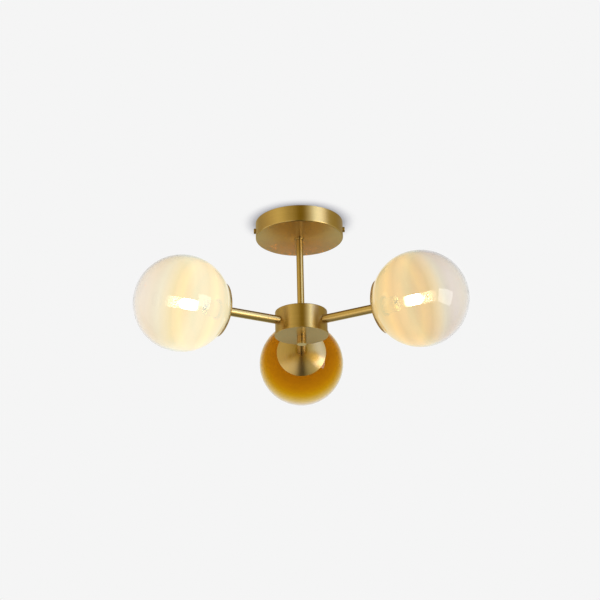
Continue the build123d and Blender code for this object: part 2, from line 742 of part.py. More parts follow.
    gasket_inner_radius = globe_radius + moving_clearance
    gasket_outer_radius = gasket_inner_radius + gasket_thickness
    with BuildPart() as gasket:
        with BuildSketch(profile_plane):
            with BuildLine():
                start_angle = on_sphere(gasket_inner_radius, gasket_outer_diameter / 2)
                end_angle = on_sphere(gasket_inner_radius, gasket_inner_diameter / 2)
                globe_side = CenterArc((0, 0), gasket_inner_radius, 180 - start_angle, start_angle - end_angle)
                saucer_side = CenterArc((0, 0), gasket_outer_radius, 180 - start_angle, start_angle - end_angle)
                Line(globe_side @ 0, saucer_side @ 0)
                Line(globe_side @ 1, saucer_side @ 1)
            make_face()
        revolve(axis=axis)
    gasket.part.label = f"gasket_{number}"
    export_step(gasket.part, f"parts/gasket_{number}.step")

    with BuildPart() as globe:
        with Locations(profile_plane.location):
            Sphere(globe_radius)
            Sphere(globe_radius - globe_wall, mode=Mode.SUBTRACT)
        with BuildSketch(across_arm(angle, globe_reach + mouth_face_u)):
            Circle(mouth_neck_radius)
        extrude(amount=mouth_lip_depth)
        with BuildSketch(across_arm(angle, globe_reach + mouth_face_u + mouth_lip_depth)):
            Circle(mouth_radius)
        extrude(amount=-mouth_lip_depth - globe_radius - mouth_face_u, mode=Mode.SUBTRACT)
        rings = globe.edges().filter_by(GeomType.CIRCLE).filter_by(lambda edge: edge.is_closed)
        fillet(rings.group_by(lambda edge: edge.radius)[0], radius=mouth_edge_radius)
    globe.part.label = f"globe_{number}"
    export_step(globe.part, f"parts/globe_{number}.step")

    bulb_radius = bulb_diameter / 2
    cavity_radius = bulb_radius - bulb_wall
    dome_u = bulb_dome_front - bulb_radius
    tip_radius = bulb_tip_diameter / 2
    with BuildPart() as bulb_glass:
        with BuildSketch(profile_plane):
            with BuildLine():
                dome = CenterArc((dome_u, 0), bulb_radius, 0, 90)
                Polyline(dome @ 1, (-bulb_back_setback, bulb_radius), (-bulb_back_setback, 0), dome @ 0)
            make_face()
            with BuildLine():
                tip = CenterArc((bulb_dome_front + bulb_tip_length - tip_radius, 0), tip_radius, 0, 90)
                Polyline(tip @ 1, (dome_u, tip_radius), (dome_u, 0), tip @ 0)
            make_face()
            with BuildLine():
                cavity = CenterArc((dome_u, 0), cavity_radius, 0, 90)
                Polyline(cavity @ 1, (pinch_face_u, cavity_radius), (pinch_face_u, 0), cavity @ 0)
            make_face(mode=Mode.SUBTRACT)
        revolve(axis=axis)
        with BuildSketch(across_arm(angle, globe_reach + pinch_end_u)):
            RectangleRounded(pinch_width, pinch_thickness, pinch_edge_radius)
        extrude(amount=pinch_face_u - pinch_end_u)
    bulb_glass.part.label = f"bulb_glass_{number}"
    export_step(bulb_glass.part, f"parts/bulb_glass_{number}.step")

    loop_radius = pin_loop_width / 2 - pin_wire_diameter / 2
    pin_straight = pin_length - pin_loop_width / 2
    with BuildPart() as bulb_pins:
        for pin_side in (-1, 1):
            across = across_arm(angle, globe_reach + pinch_end_u)
            loop_plane = Plane(
                origin=across.from_local_coords((pin_side * pin_pitch / 2, 0, 0)),
                x_dir=across.x_dir,
                z_dir=across.y_dir,
            )
            with BuildLine(loop_plane) as loop:
                Line((-loop_radius, 0), (-loop_radius, pin_straight))
                ThreePointArc((-loop_radius, pin_straight), (0, pin_straight + loop_radius), (loop_radius, pin_straight))
                Line((loop_radius, pin_straight), (loop_radius, 0))
            with BuildSketch(Plane(origin=loop.line @ 0, z_dir=loop.line % 0)):
                Circle(pin_wire_diameter / 2)
            sweep()
    bulb_pins.part.label = f"bulb_pins_{number}"
    export_step(bulb_pins.part, f"parts/bulb_pins_{number}.step")

    # The burner, from its leads on the pinch to its far end, hangs on the capsule's axis.
    filament_back_u = (pinch_face_u + dome_u - filament_length) / 2
    with BuildPart() as filament:
        with BuildSketch(across_arm(angle, globe_reach + filament_back_u)):
            Circle(filament_diameter / 2)
        extrude(amount=filament_length)
        with BuildSketch(across_arm(angle, globe_reach + pinch_face_u)):
            Circle(lead_diameter / 2)
        extrude(amount=filament_back_u - pinch_face_u + lead_embed)
    filament.part.label = f"filament_{number}"
    export_step(filament.part, f"parts/filament_{number}.step")

least_turn = wire_bend_radius / wire_diameter
print(f"Wire bends {wire_bend_radius} mm, {least_turn:.2f} wire diameters")
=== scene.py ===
import math

import bpy
from mathutils import Matrix, Vector


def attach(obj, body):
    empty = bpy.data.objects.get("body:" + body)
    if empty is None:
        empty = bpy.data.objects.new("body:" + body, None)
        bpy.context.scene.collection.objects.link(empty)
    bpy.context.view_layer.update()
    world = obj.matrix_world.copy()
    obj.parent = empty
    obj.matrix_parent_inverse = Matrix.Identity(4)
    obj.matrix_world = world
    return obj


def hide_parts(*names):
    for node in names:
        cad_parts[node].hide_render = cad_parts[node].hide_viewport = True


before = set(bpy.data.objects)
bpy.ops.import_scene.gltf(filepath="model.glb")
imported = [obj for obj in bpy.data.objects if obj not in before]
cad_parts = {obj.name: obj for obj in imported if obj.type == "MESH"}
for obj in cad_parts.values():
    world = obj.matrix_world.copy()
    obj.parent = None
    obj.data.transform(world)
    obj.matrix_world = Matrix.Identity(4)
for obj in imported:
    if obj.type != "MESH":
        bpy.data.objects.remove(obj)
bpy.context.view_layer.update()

# The looks of a semi flush ceiling light: brushed brass, globes of glass that goes from amber to clear, and
# lit capsule lamps. Metres, in the frame of the CAD: +Z up, the origin in the ceiling plane.

ARM_ANGLES = {1: 90, 2: 210, 3: 330}
GLOBE_REACH = 0.1745
GLOBE_RADIUS = 0.06175
ARM_Z = -0.147
BACKGROUND = (0.913, 0.913, 0.913)


def outward(angle):
    """Unit vector along an arm, away from the hub."""
    turn = math.radians(angle)
    return Vector((math.cos(turn), math.sin(turn), 0))


def globe_centre(angle):
    return outward(angle) * GLOBE_REACH + Vector((0, 0, ARM_Z))


# ---- Node helpers -------------------------------------------------------------------------------------


def node(tree, kind, inputs=None, **settings):
    """Makes a node and sets its options. Each input takes another node's output or a value."""
    made = tree.nodes.new(kind)
    for key, value in settings.items():
        setattr(made, key, value)
    for key, value in (inputs or {}).items():
        if isinstance(value, bpy.types.NodeSocket):
            tree.links.new(value, made.inputs[key])
        else:
            made.inputs[key].default_value = value
    return made


def maths(tree, operation, *values):
    return node(tree, "ShaderNodeMath", dict(enumerate(values)), operation=operation).outputs[0]


def weighed(tree, first, share, second):
    """The first value by its share and the second by the rest."""
    rest = maths(tree, "MULTIPLY", second, 1 - share)
    return maths(tree, "ADD", maths(tree, "MULTIPLY", first, share), rest)


def vector_maths(tree, operation, *values, out="Vector"):
    made = node(tree, "ShaderNodeVectorMath", dict(enumerate(values)), operation=operation)
    return made.outputs[out]


def scaled(tree, colour, factor):
    inputs = {0: colour, "Scale": factor}
    return node(tree, "ShaderNodeVectorMath", inputs, operation="SCALE").outputs[0]


def ramp(tree, position, stops):
    """Colour ramp: stops are (position, colour)."""
    made = node(tree, "ShaderNodeValToRGB", {"Fac": position})
    elements = made.color_ramp.elements
    while len(elements) < len(stops):
        elements.new(0.5)
    for element, (place, colour) in zip(elements, stops):
        element.position = place
        element.color = (*colour, 1)
    return made.outputs["Color"]


def blend_colour(tree, factor, low, high):
    """low and high are sockets or colours with alpha."""
    return node(tree, "ShaderNodeMix", {0: factor, 6: low, 7: high}, data_type="RGBA").outputs[2]


def map_range(tree, inputs, **settings):
    return node(tree, "ShaderNodeMapRange", inputs, **settings).outputs["Result"]


def spread(tree, value, low, high):
    """Takes a value of 0 to 1 to low to high."""
    return map_range(tree, {"Value": value, "To Min": low, "To Max": high})


def share_of(tree, value, start, end):
    """Takes start to end to 0 to 1."""
    return map_range(tree, {"Value": value, "From Min": start, "From Max": end})


def ranged(tree, value, start, end, low=0.0, high=1.0):
    """Takes start to end to low to high, smoothly."""
    inputs = {"Value": value, "From Min": start, "From Max": end, "To Min": low, "To Max": high}
    return map_range(tree, inputs, interpolation_type="SMOOTHSTEP")


def noise(tree, place, scale, detail=3.0):
    inputs = {"Vector": place, "Scale": scale, "Detail": detail}
    return node(tree, "ShaderNodeTexNoise", inputs).outputs["Fac"]


def bump(tree, height, strength, distance):
    inputs = {"Height": height, "Strength": strength, "Distance": distance}
    return node(tree, "ShaderNodeBump", inputs).outputs["Normal"]


def openness(tree, reach, samples):
    """1 where nothing stands within reach, and less in corners."""
    return node(tree, "ShaderNodeAmbientOcclusion", {"Distance": reach}, samples=samples).outputs["AO"]


def object_place(tree):
    return node(tree, "ShaderNodeTexCoord").outputs["Object"]


def parts_of(tree, vector):
    """The X, Y and Z sockets of a vector."""
    return node(tree, "ShaderNodeSeparateXYZ", {"Vector": vector}).outputs


def rays(tree):
    return node(tree, "ShaderNodeLightPath").outputs


def seen_from_inside(tree):
    """1 where a face is seen from the side that its normal points away from."""
    return node(tree, "ShaderNodeNewGeometry").outputs["Backfacing"]


SOCKET_NAMES = {"ior": "IOR", "coat_ior": "Coat IOR"}


def principled(tree, **inputs):
    """The main shader. Its inputs are named in lower case, with underscores for spaces."""
    named = {
        SOCKET_NAMES.get(key, key.replace("_", " ").title()): value for key, value in inputs.items()
    }
    return node(tree, "ShaderNodeBsdfPrincipled", named).outputs[0]


def mix_shaders(tree, factor, first, second):
    return node(tree, "ShaderNodeMixShader", {0: factor, 1: first, 2: second}).outputs[0]


def new_material(name):
    made = bpy.data.materials.new(name)
    made.use_nodes = True
    made.node_tree.nodes.clear()
    return made, made.node_tree


def finish_material(tree, shader):
    node(tree, "ShaderNodeOutputMaterial", {"Surface": shader})


# ---- Brass --------------------------------------------------------------------------------------------

BRASS_LOW = (0.44, 0.250, 0.036)
BRASS_HIGH = (0.55, 0.325, 0.058)
# Painted shade: the brass is darkened toward this colour in seams and corners, where other parts stand
# within its reach.
PAINTED_SHADE = (0.10, 0.055, 0.008, 1)
PAINTED_SHADE_REACH = 0.0025
RINGS_PER_METRE = 1400
RING_WAVER = 1.6
RING_SHARE = 0.6  # of the shade, and the patches give the rest
PATCHES_PER_METRE = 38.0
LOOKS_DOWN = -0.5  # the normal's Z below which a face looks down


def brass(name, axis=(0, 0, 1), centre=(0, 0, 0), roughness=0.33, anisotropic=0.85, below=None):
    """Brass brushed in rings round an axis: fine rings in the bump and roughness, and reflections drawn out
    across the rings. below: the roughness and anisotropy of faces that look down, if they differ."""
    made, tree = new_material(name)
    offset = vector_maths(tree, "SUBTRACT", object_place(tree), tuple(centre))
    around = vector_maths(tree, "CROSS_PRODUCT", tuple(axis), offset)
    along = vector_maths(tree, "DOT_PRODUCT", offset, tuple(axis), out="Value")
    radius = vector_maths(tree, "LENGTH", around, out="Value")
    rings = node(tree, "ShaderNodeCombineXYZ", {"X": radius, "Y": along}).outputs[0]
    ring_direction = vector_maths(tree, "NORMALIZE", around)
    ring_place = vector_maths(
        tree,
        "ADD",
        vector_maths(tree, "MULTIPLY", rings, (RINGS_PER_METRE, RINGS_PER_METRE, 0)),
        vector_maths(tree, "MULTIPLY", ring_direction, (RING_WAVER, RING_WAVER, RING_WAVER)),
    )
    lines = noise(tree, ring_place, 1.0, detail=4.0)
    patches = noise(tree, object_place(tree), PATCHES_PER_METRE, detail=2.0)
    shade = weighed(tree, lines, RING_SHARE, patches)
    brushed = ramp(tree, shade, [(0.3, BRASS_LOW), (0.7, BRASS_HIGH)])
    # Painted shade in seams and corners: the colour goes darker where other parts stand close by.
    painted_shade = spread(tree, openness(tree, PAINTED_SHADE_REACH, samples=4), 0.75, -0.1)
    if below:
        normal = parts_of(tree, node(tree, "ShaderNodeNewGeometry").outputs["Normal"])
        looks_down = maths(tree, "LESS_THAN", normal["Z"], LOOKS_DOWN)
        roughness = spread(tree, looks_down, roughness, below[0])
        anisotropic = spread(tree, looks_down, anisotropic, below[1])
    shader = principled(
        tree,
        base_color=blend_colour(tree, painted_shade, brushed, PAINTED_SHADE),
        metallic=1.0,
        roughness=maths(tree, "MULTIPLY", spread(tree, shade, 0.75, 1.25), roughness),
        anisotropic=anisotropic,
        anisotropic_rotation=0.25,
        tangent=ring_direction,
        normal=bump(tree, lines, 0.12, 0.00006),
        coat_weight=0.8,
        coat_roughness=0.22,
        coat_ior=1.8,
    )
    finish_material(tree, shader)
    return made


# ---- Plain materials ----------------------------------------------------------------------------------


def speckled(name, low, high, scale, roughness, bump_strength=0.1, bump_depth=0.0001, **extra):
    """A material with an even fine grain in its colour, roughness and surface."""
    made, tree = new_material(name)
    place = object_place(tree)
    grain = noise(tree, place, scale)
    broad = noise(tree, place, scale * 0.12)
    shade = weighed(tree, grain, 0.5, broad)
    shader = principled(
        tree,
        base_color=ramp(tree, shade, [(0.32, low), (0.68, high)]),
        roughness=spread(tree, shade, roughness * 0.8, roughness * 1.2),
        normal=bump(tree, grain, bump_strength, bump_depth),
        **extra,
    )
    finish_material(tree, shader)
    return made


STRIPE_HALF_WIDTH = 0.0003


def earth_insulation():
    """Green with a yellow stripe down each side of the wire, which lies in the plane x = 0."""
    made, tree = new_material("earth_insulation")
    side = parts_of(tree, object_place(tree))["X"]
    stripe = maths(tree, "LESS_THAN", maths(tree, "ABSOLUTE", side), STRIPE_HALF_WIDTH)
    shader = principled(
        tree,
        base_color=blend_colour(tree, stripe, (0.10, 0.36, 0.05, 1), (0.80, 0.66, 0.03, 1)),
        roughness=0.32,
        normal=bump(tree, noise(tree, object_place(tree), 900.0), 0.08, 0.00005),
    )
    finish_material(tree, shader)
    return made


# ---- Globes -------------------------------------------------------------------------------------------

# Each colour stands at its place along the arm's axis: -1 at the arm to 1 at the far end of the globe.
# A tint is what the glass lets through, and the lit globes let through little at the arm side, so that
# their painted glow covers what lies behind. A glow is painted light that the glass gives off as emission,
# standing in for the lamp's light scattered in the amber coating; each front globe has its own.
TINT = [
    (-0.95, (0.40, 0.13, 0.001)),
    (-0.73, (0.47, 0.17, 0.001)),
    (-0.58, (0.54, 0.215, 0.001)),
    (-0.46, (0.62, 0.29, 0.001)),
    (-0.34, (0.69, 0.39, 0.006)),
    (-0.16, (0.73, 0.52, 0.090)),
    (0.0, (0.80, 0.62, 0.33)),
    (0.15, (0.87, 0.76, 0.56)),
    (0.42, (0.90, 0.84, 0.76)),
    (0.90, (0.93, 0.90, 0.86)),
]
LIT_TINT = [
    (-0.95, (0.05, 0.018, 0.0005)),
    (-0.60, (0.06, 0.020, 0.0005)),
    (-0.45, (0.30, 0.11, 0.002)),
    (-0.34, (0.52, 0.25, 0.008)),
    (-0.16, (0.50, 0.30, 0.05)),
    (0.0, (0.78, 0.58, 0.30)),
    (0.15, (0.87, 0.76, 0.56)),
    (0.42, (0.90, 0.84, 0.76)),
    (0.90, (0.93, 0.90, 0.86)),
]
LEFT_PAINTED_GLOW = [
    (-0.95, (0.970, 0.870, 0.550)),
    (-0.70, (0.950, 0.870, 0.570)),
    (-0.50, (0.880, 0.840, 0.590)),
    (-0.35, (0.750, 0.775, 0.600)),
    (-0.20, (0.600, 0.660, 0.565)),
    (-0.10, (0.440, 0.550, 0.520)),
    (0.00, (0.276, 0.403, 0.439)),
    (0.10, (0.172, 0.277, 0.318)),
    (0.20, (0.110, 0.181, 0.205)),
    (0.30, (0.082, 0.109, 0.105)),
    (0.40, (0.085, 0.068, 0.025)),
    (0.55, (0.070, 0.040, 0.000)),
    (0.70, (0.080, 0.045, 0.010)),
    (0.85, (0.090, 0.065, 0.035)),
    (1.00, (0.100, 0.090, 0.080)),
]
RIGHT_PAINTED_GLOW = [
    (-0.95, (0.920, 0.680, 0.300)),
    (-0.70, (0.890, 0.680, 0.320)),
    (-0.50, (0.730, 0.640, 0.340)),
    (-0.35, (0.580, 0.570, 0.335)),
    (-0.20, (0.480, 0.460, 0.315)),
    (-0.10, (0.388, 0.398, 0.300)),
    (0.00, (0.254, 0.298, 0.257)),
    (0.10, (0.133, 0.196, 0.197)),
    (0.20, (0.015, 0.080, 0.125)),
    (0.30, (0.000, 0.025, 0.080)),
    (0.40, (0.000, 0.000, 0.050)),
    (0.55, (0.000, 0.000, 0.025)),
    (0.70, (0.015, 0.015, 0.025)),
    (0.85, (0.035, 0.040, 0.045)),
    (1.00, (0.060, 0.060, 0.045)),
]
TINTS = {1: TINT, 2: LIT_TINT, 3: LIT_TINT}
PAINTED_GLOWS = {2: LEFT_PAINTED_GLOW, 3: RIGHT_PAINTED_GLOW}
GLASS_IOR = 1.47
TINT_WANDER = 0.03


def along_arm(tree, angle):
    """The point's place along the arm, from the centre of that arm's globe: -1 to 1 over the globe."""
    offset = vector_maths(tree, "SUBTRACT", object_place(tree), tuple(globe_centre(angle)))
    reach = vector_maths(tree, "DOT_PRODUCT", offset, tuple(outward(angle)), out="Value")
    return maths(tree, "DIVIDE", reach, GLOBE_RADIUS)


def over_globe(tree, place, stops):
    """Colour by the place along the arm."""
    shares = [((at + 1) / 2, colour) for at, colour in stops]
    return ramp(tree, share_of(tree, place, -1.0, 1.0), shares)


def lets_light_through(tree, shader, tint):
    """The shader, but see-through to the lamps' shadow rays."""
    clear = node(tree, "ShaderNodeBsdfTransparent", {"Color": tint}).outputs[0]
    return mix_shaders(tree, rays(tree)["Is Shadow Ray"], shader, clear)


def painted_glow_away(tree, place, stops):
    """The inputs of a painted glow on both faces of the glass, in place of the lamp's light scattered in
    it, away from the glass and under its gloss.
    """
    away = maths(tree, "SUBTRACT", 1.0, seen_from_inside(tree))
    gloss = node(tree, "ShaderNodeFresnel", {"IOR": GLASS_IOR}).outputs[0]
    under_gloss = maths(tree, "SUBTRACT", 1.0, gloss)
    return {
        "emission_color": over_globe(tree, place, stops),
        "emission_strength": maths(tree, "MULTIPLY", away, under_gloss),
    }


def globe_glass(number, angle):
    """Glass that goes from deep amber at the arm to clear at the far end. The front globes carry a painted
    glow in place of their lamps' light scattered in the glass, which hides what lies behind it at the arm
    side."""
    made, tree = new_material(f"amber_glass_{number}")
    wander = spread(tree, noise(tree, object_place(tree), 22.0), -TINT_WANDER, TINT_WANDER)
    place = maths(tree, "ADD", along_arm(tree, angle), wander)
    tint = over_globe(tree, place, TINTS[number])
    # Painted glow: emission that stands in for the lamp's light scattered in the glass.
    glow = painted_glow_away(tree, place, PAINTED_GLOWS[number]) if number in PAINTED_GLOWS else {}
    shader = principled(
        tree, base_color=tint, roughness=0.0, ior=GLASS_IOR, transmission_weight=1.0, **glow
    )
    one_face = node(tree, "ShaderNodeGamma", {"Color": tint, "Gamma": 0.5}).outputs[0]
    finish_material(tree, lets_light_through(tree, shader, one_face))
    return made


# ---- Lamps --------------------------------------------------------------------------------------------

LAMP_BACK, LAMP_FRONT = -0.036, 0.006  # along the arm, from the globe's centre
LAMP_CLEAR = (0.96, 0.96, 0.94, 1)
LAMP_GLOW = [
    (0.0, (0.01, 0.009, 0.007)),
    (0.34, (0.02, 0.018, 0.014)),
    (0.44, (0.30, 0.27, 0.23)),
    (0.54, (1.0, 0.93, 0.82)),
    (0.76, (1.0, 0.93, 0.82)),
    (0.86, (0.25, 0.23, 0.20)),
    (0.96, (0.04, 0.036, 0.03)),
]


def lamp_glass(number, angle):
    """The lit capsule: white round the coil and fainter toward its tip and the pinch by the socket."""
    made, tree = new_material(f"lamp_glass_{number}")
    place = maths(tree, "MULTIPLY", along_arm(tree, angle), GLOBE_RADIUS)
    shader = principled(
        tree,
        base_color=LAMP_CLEAR,
        roughness=0.05,
        ior=1.46,
        transmission_weight=1.0,
        emission_color=ramp(tree, share_of(tree, place, LAMP_BACK, LAMP_FRONT), LAMP_GLOW),
        emission_strength=3.0,
    )
    finish_material(tree, lets_light_through(tree, shader, LAMP_CLEAR))
    return made


def lit_tungsten():
    made, tree = new_material("filament")
    heat = noise(tree, object_place(tree), 600.0)
    shader = principled(
        tree,
        base_color=(0.6, 0.58, 0.55, 1),
        metallic=1.0,
        roughness=0.4,
        emission_color=ramp(tree, heat, [(0.3, (1.0, 0.72, 0.42)), (0.7, (1.0, 0.82, 0.56))]),
        emission_strength=2.5,
    )
    finish_material(tree, shader)
    return made


# ---- Which piece wears what ---------------------------------------------------------------------------

tungsten = lit_tungsten()
zinc = speckled("zinc_steel", (0.50, 0.51, 0.50), (0.66, 0.66, 0.64), 260.0, 0.34, metallic=1.0)
turned_brass = brass("satin_brass_turned")
screw_brass = speckled("screw_brass", (0.52, 0.38, 0.15), (0.66, 0.50, 0.22), 400.0, 0.28, metallic=1.0)
nylon = speckled("block_plastic", (0.74, 0.73, 0.69), (0.82, 0.81, 0.77), 500.0, 0.42, bump_strength=0.15)
lead_insulation = speckled("lead_insulation", (0.72, 0.71, 0.67), (0.82, 0.81, 0.78), 800.0, 0.5)
steatite = speckled(
    "socket_ceramic",
    (0.78, 0.76, 0.70),
    (0.88, 0.86, 0.81),
    900.0,
    0.55,
    bump_strength=0.35,
    bump_depth=0.00012,
)
seal = speckled("seal_silicone", (0.66, 0.65, 0.60), (0.76, 0.75, 0.71), 600.0, 0.45, subsurface_weight=0.2)

shared_looks = {
    "canopy": turned_brass,
    "canopy_screws": brass("satin_brass_screws", axis=(1, 0, 0), centre=(0, 0, -0.010), anisotropic=0.5),
    "stem_collar": turned_brass,
    "stem_tube": brass("satin_brass_tube", roughness=0.30, anisotropic=0.7),
    "hub_drum": turned_brass,
    "hub_cover": brass("satin_brass_cover", below=(0.45, 0.2)),
    "cap_nut": brass("satin_brass_nut", roughness=0.13, anisotropic=0.6),
    "ceiling_bracket": zinc,
    "earth_screw": zinc,
    "block_screw": zinc,
    "canopy_washer": zinc,
    "canopy_nut": zinc,
    "hub_earth_tag": zinc,
    "hub_nut": zinc,
    "arm_nuts": zinc,
    "terminal_block": nylon,
    "wire_connectors": nylon,
    "terminal_screws": screw_brass,
    "live_wire": speckled("live_insulation", (0.17, 0.07, 0.03), (0.23, 0.10, 0.045), 700.0, 0.32),
    "neutral_wire": speckled("neutral_insulation", (0.03, 0.11, 0.40), (0.05, 0.16, 0.52), 700.0, 0.32),
    "earth_wire": earth_insulation(),
}


def arm_looks(number, angle):
    centre = globe_centre(angle)
    tube = brass(f"satin_brass_arm_{number}", outward(angle), centre, roughness=0.30, anisotropic=0.7)
    dish = brass(f"satin_brass_saucer_{number}", outward(angle), centre, roughness=0.34, anisotropic=0.9)
    return {
        f"arm_{number}": tube,
        f"lamp_sleeve_{number}": tube,
        f"saucer_{number}": dish,
        f"arm_wires_{number}": lead_insulation,
        f"socket_{number}": steatite,
        f"contacts_{number}": zinc,
        f"gasket_{number}": seal,
        f"bulb_pins_{number}": zinc,
        f"globe_{number}": globe_glass(number, angle),
        f"bulb_glass_{number}": lamp_glass(number, angle),
    }


def dress(looks):
    for name, look in looks.items():
        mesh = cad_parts[name].data
        mesh.materials.clear()
        mesh.materials.append(look)


dress(shared_looks)
for arm_number, arm_angle in ARM_ANGLES.items():
    dress(arm_looks(arm_number, arm_angle))

# ---- Lamp filaments -----------------------------------------------------------------------------------

COIL_BACK, COIL_FRONT = -0.0165, -0.0005  # along the arm, from the globe's centre
COIL_RADIUS = 0.0011
COIL_TURNS = 14
STEPS_PER_TURN = 10
COIL_WIRE_RADIUS = 0.00022
LEAD_BACK = -0.0195
LEAD_FRONT = COIL_FRONT + 0.0006
LEAD_SIDE = 0.0032


def coil_points(angle):
    """A lead, the coil along the arm's axis, and the other lead back beside it."""
    out = outward(angle)
    side = Vector((-out.y, out.x, 0))
    up = Vector((0, 0, 1))
    centre = globe_centre(angle)
    points = [
        centre + out * LEAD_BACK - side * LEAD_SIDE,
        centre + out * COIL_BACK - side * LEAD_SIDE * 0.6,
    ]
    steps = COIL_TURNS * STEPS_PER_TURN
    for step in range(steps + 1):
        turn = 2 * math.pi * step / STEPS_PER_TURN
        reach = COIL_BACK + (COIL_FRONT - COIL_BACK) * step / steps
        points.append(centre + out * reach + (side * math.cos(turn) + up * math.sin(turn)) * COIL_RADIUS)
    points.append(centre + out * LEAD_FRONT + side * LEAD_SIDE * 0.7)
    points.append(centre + out * COIL_BACK + side * LEAD_SIDE)
    points.append(centre + out * LEAD_BACK + side * LEAD_SIDE)
    return points


def make_coil(number, angle):
    line = bpy.data.curves.new(f"filament_coil_{number}", "CURVE")
    line.dimensions = "3D"
    line.bevel_depth = COIL_WIRE_RADIUS
    line.bevel_resolution = 2
    points = coil_points(angle)
    spline = line.splines.new("NURBS")
    spline.points.add(len(points) - 1)
    for point, place in zip(spline.points, points):
        point.co = (*place, 1)
    spline.order_u = 3
    spline.use_endpoint_u = True
    coil = bpy.data.objects.new(f"filament_coil_{number}", line)
    bpy.context.scene.collection.objects.link(coil)
    line.materials.append(tungsten)
    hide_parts(f"filament_{number}")
    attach(coil, f"lamp_{number}")


for arm_number, arm_angle in ARM_ANGLES.items():
    make_coil(arm_number, arm_angle)

# ---- Ceiling and floor --------------------------------------------------------------------------------

MATT_WHITE = (0.8, 0.8, 0.8, 1)
SHADOW_REACH = 0.030
# The ceiling's tone by how open it is: the canopy shades it close by.
CONTACT_SHADOW = [
    (0.55, (0.41, 0.41, 0.43)),
    (0.60, (0.49, 0.49, 0.51)),
    (0.66, (0.60, 0.60, 0.62)),
    (0.745, (0.70, 0.70, 0.72)),
    (0.80, (0.80, 0.80, 0.81)),
    (0.86, (0.895, 0.895, 0.895)),
    (0.93, BACKGROUND),
]


def plain_or_matt(tree, tone):
    """The tone itself for rays that show it or carry it into metal and glass, and matt white for light."""
    path = rays(tree)
    shown = maths(tree, "MAXIMUM", path["Is Camera Ray"], path["Is Transmission Ray"])
    shown = maths(tree, "MAXIMUM", shown, path["Is Glossy Ray"])
    matt = node(tree, "ShaderNodeBsdfDiffuse", {"Color": MATT_WHITE}).outputs[0]
    plain = node(tree, "ShaderNodeEmission", {"Color": tone}).outputs[0]
    return mix_shaders(tree, shown, matt, plain)


def ceiling_material():
    """Pale, with the soft contact shadow of the canopy, and clear when it is seen from above."""
    made, tree = new_material("ceiling")
    tone = ramp(tree, openness(tree, SHADOW_REACH, samples=16), CONTACT_SHADOW)
    front = plain_or_matt(tree, tone)
    clear = node(tree, "ShaderNodeBsdfTransparent").outputs[0]
    finish_material(tree, mix_shaders(tree, seen_from_inside(tree), front, clear))
    return made


def floor_material():
    made, tree = new_material("floor")
    patches = noise(tree, object_place(tree), 3.0)
    tone = ramp(tree, patches, [(0.3, (0.905, 0.905, 0.905)), (0.7, (0.92, 0.92, 0.92))])
    finish_material(tree, plain_or_matt(tree, tone))
    return made


PLATE_SIDES = 96


def plate(name, look, radius, height, down):
    """A round sheet that faces down or up. Metal doesn't mirror it: it shows the world behind it."""
    mesh = bpy.data.meshes.new(name)
    turns = [2 * math.pi * side / PLATE_SIDES for side in range(PLATE_SIDES)]
    ring = [(radius * math.cos(turn), radius * math.sin(turn), height) for turn in turns]
    mesh.from_pydata(ring, [], [list(range(PLATE_SIDES))[:: -1 if down else 1]])
    mesh.materials.append(look)
    made = bpy.data.objects.new(name, mesh)
    made.visible_glossy = False
    bpy.context.scene.collection.objects.link(made)


plate("ceiling", ceiling_material(), radius=0.45, height=0.0004, down=True)
plate("floor", floor_material(), radius=6.0, height=-2.2, down=False)

# ---- World --------------------------------------------------------------------------------------------

# What rough metal sees round it, by azimuth in degrees: 0 toward the viewer, 90 to the right.
STUDIO_ROUND = [
    (-180, (0.46, 0.38, 0.20)),
    (-126, (0.50, 0.42, 0.18)),
    (-84, (0.80, 0.74, 0.44)),
    (-56, (1.06, 1.04, 0.66)),
    (-28, (0.68, 0.64, 0.36)),
    (-12, (0.54, 0.48, 0.20)),
    (0, (0.34, 0.26, 0.02)),
    (14, (0.32, 0.25, 0.02)),
    (28, (0.84, 0.90, 0.86)),
    (42, (1.50, 2.00, 2.90)),
    (56, (1.70, 2.30, 3.60)),
    (70, (1.10, 1.35, 1.80)),
    (84, (0.56, 0.54, 0.30)),
    (110, (0.44, 0.38, 0.14)),
    (145, (0.38, 0.32, 0.18)),
    (180, (0.46, 0.38, 0.20)),
]
BRIGHTEST = 4.0  # a ramp holds no more than 1, so its colours are divided by this and scaled back up
LOW_LEFT = (1.40, 1.45, 1.30, 1)
LOW_RIGHT = (0.90, 0.98, 0.80, 1)
LOW_BEHIND = (0.60, 0.64, 0.44, 1)


def studio_below(tree, direction):
    """What rough metal sees below it: bright at both sides, dark in the middle in front and dull behind."""
    off_middle = ranged(tree, maths(tree, "ABSOLUTE", direction["X"]), 0.05, 0.32, low=0.08)
    to_right = ranged(tree, direction["X"], -0.10, 0.10)
    in_front = scaled(tree, blend_colour(tree, to_right, LOW_LEFT, LOW_RIGHT), off_middle)
    behind = ranged(tree, direction["Y"], 0.1, 0.6)
    below = blend_colour(tree, behind, in_front, LOW_BEHIND)
    return scaled(tree, below, ranged(tree, direction["Z"], -0.50, -0.85, low=1.0, high=0.4))


def studio_room(tree, direction):
    """What rough metal sees by direction, as in a studio."""
    towards_viewer = maths(tree, "MULTIPLY", direction["Y"], -1.0)
    azimuth = maths(tree, "ARCTAN2", direction["X"], towards_viewer)
    stops = [
        ((degrees + 180) / 360, tuple(part / BRIGHTEST for part in colour))
        for degrees, colour in STUDIO_ROUND
    ]
    level = scaled(tree, ramp(tree, share_of(tree, azimuth, -math.pi, math.pi), stops), BRIGHTEST)
    low = ranged(tree, direction["Z"], -0.05, -0.30)
    room = blend_colour(tree, low, level, studio_below(tree, direction))
    return scaled(tree, room, ranged(tree, direction["Z"], 0.70, 0.90, low=1.0, high=0.4))


def background(tree, colour, strength=1.0):
    return node(tree, "ShaderNodeBackground", {"Color": colour, "Strength": strength}).outputs[0]


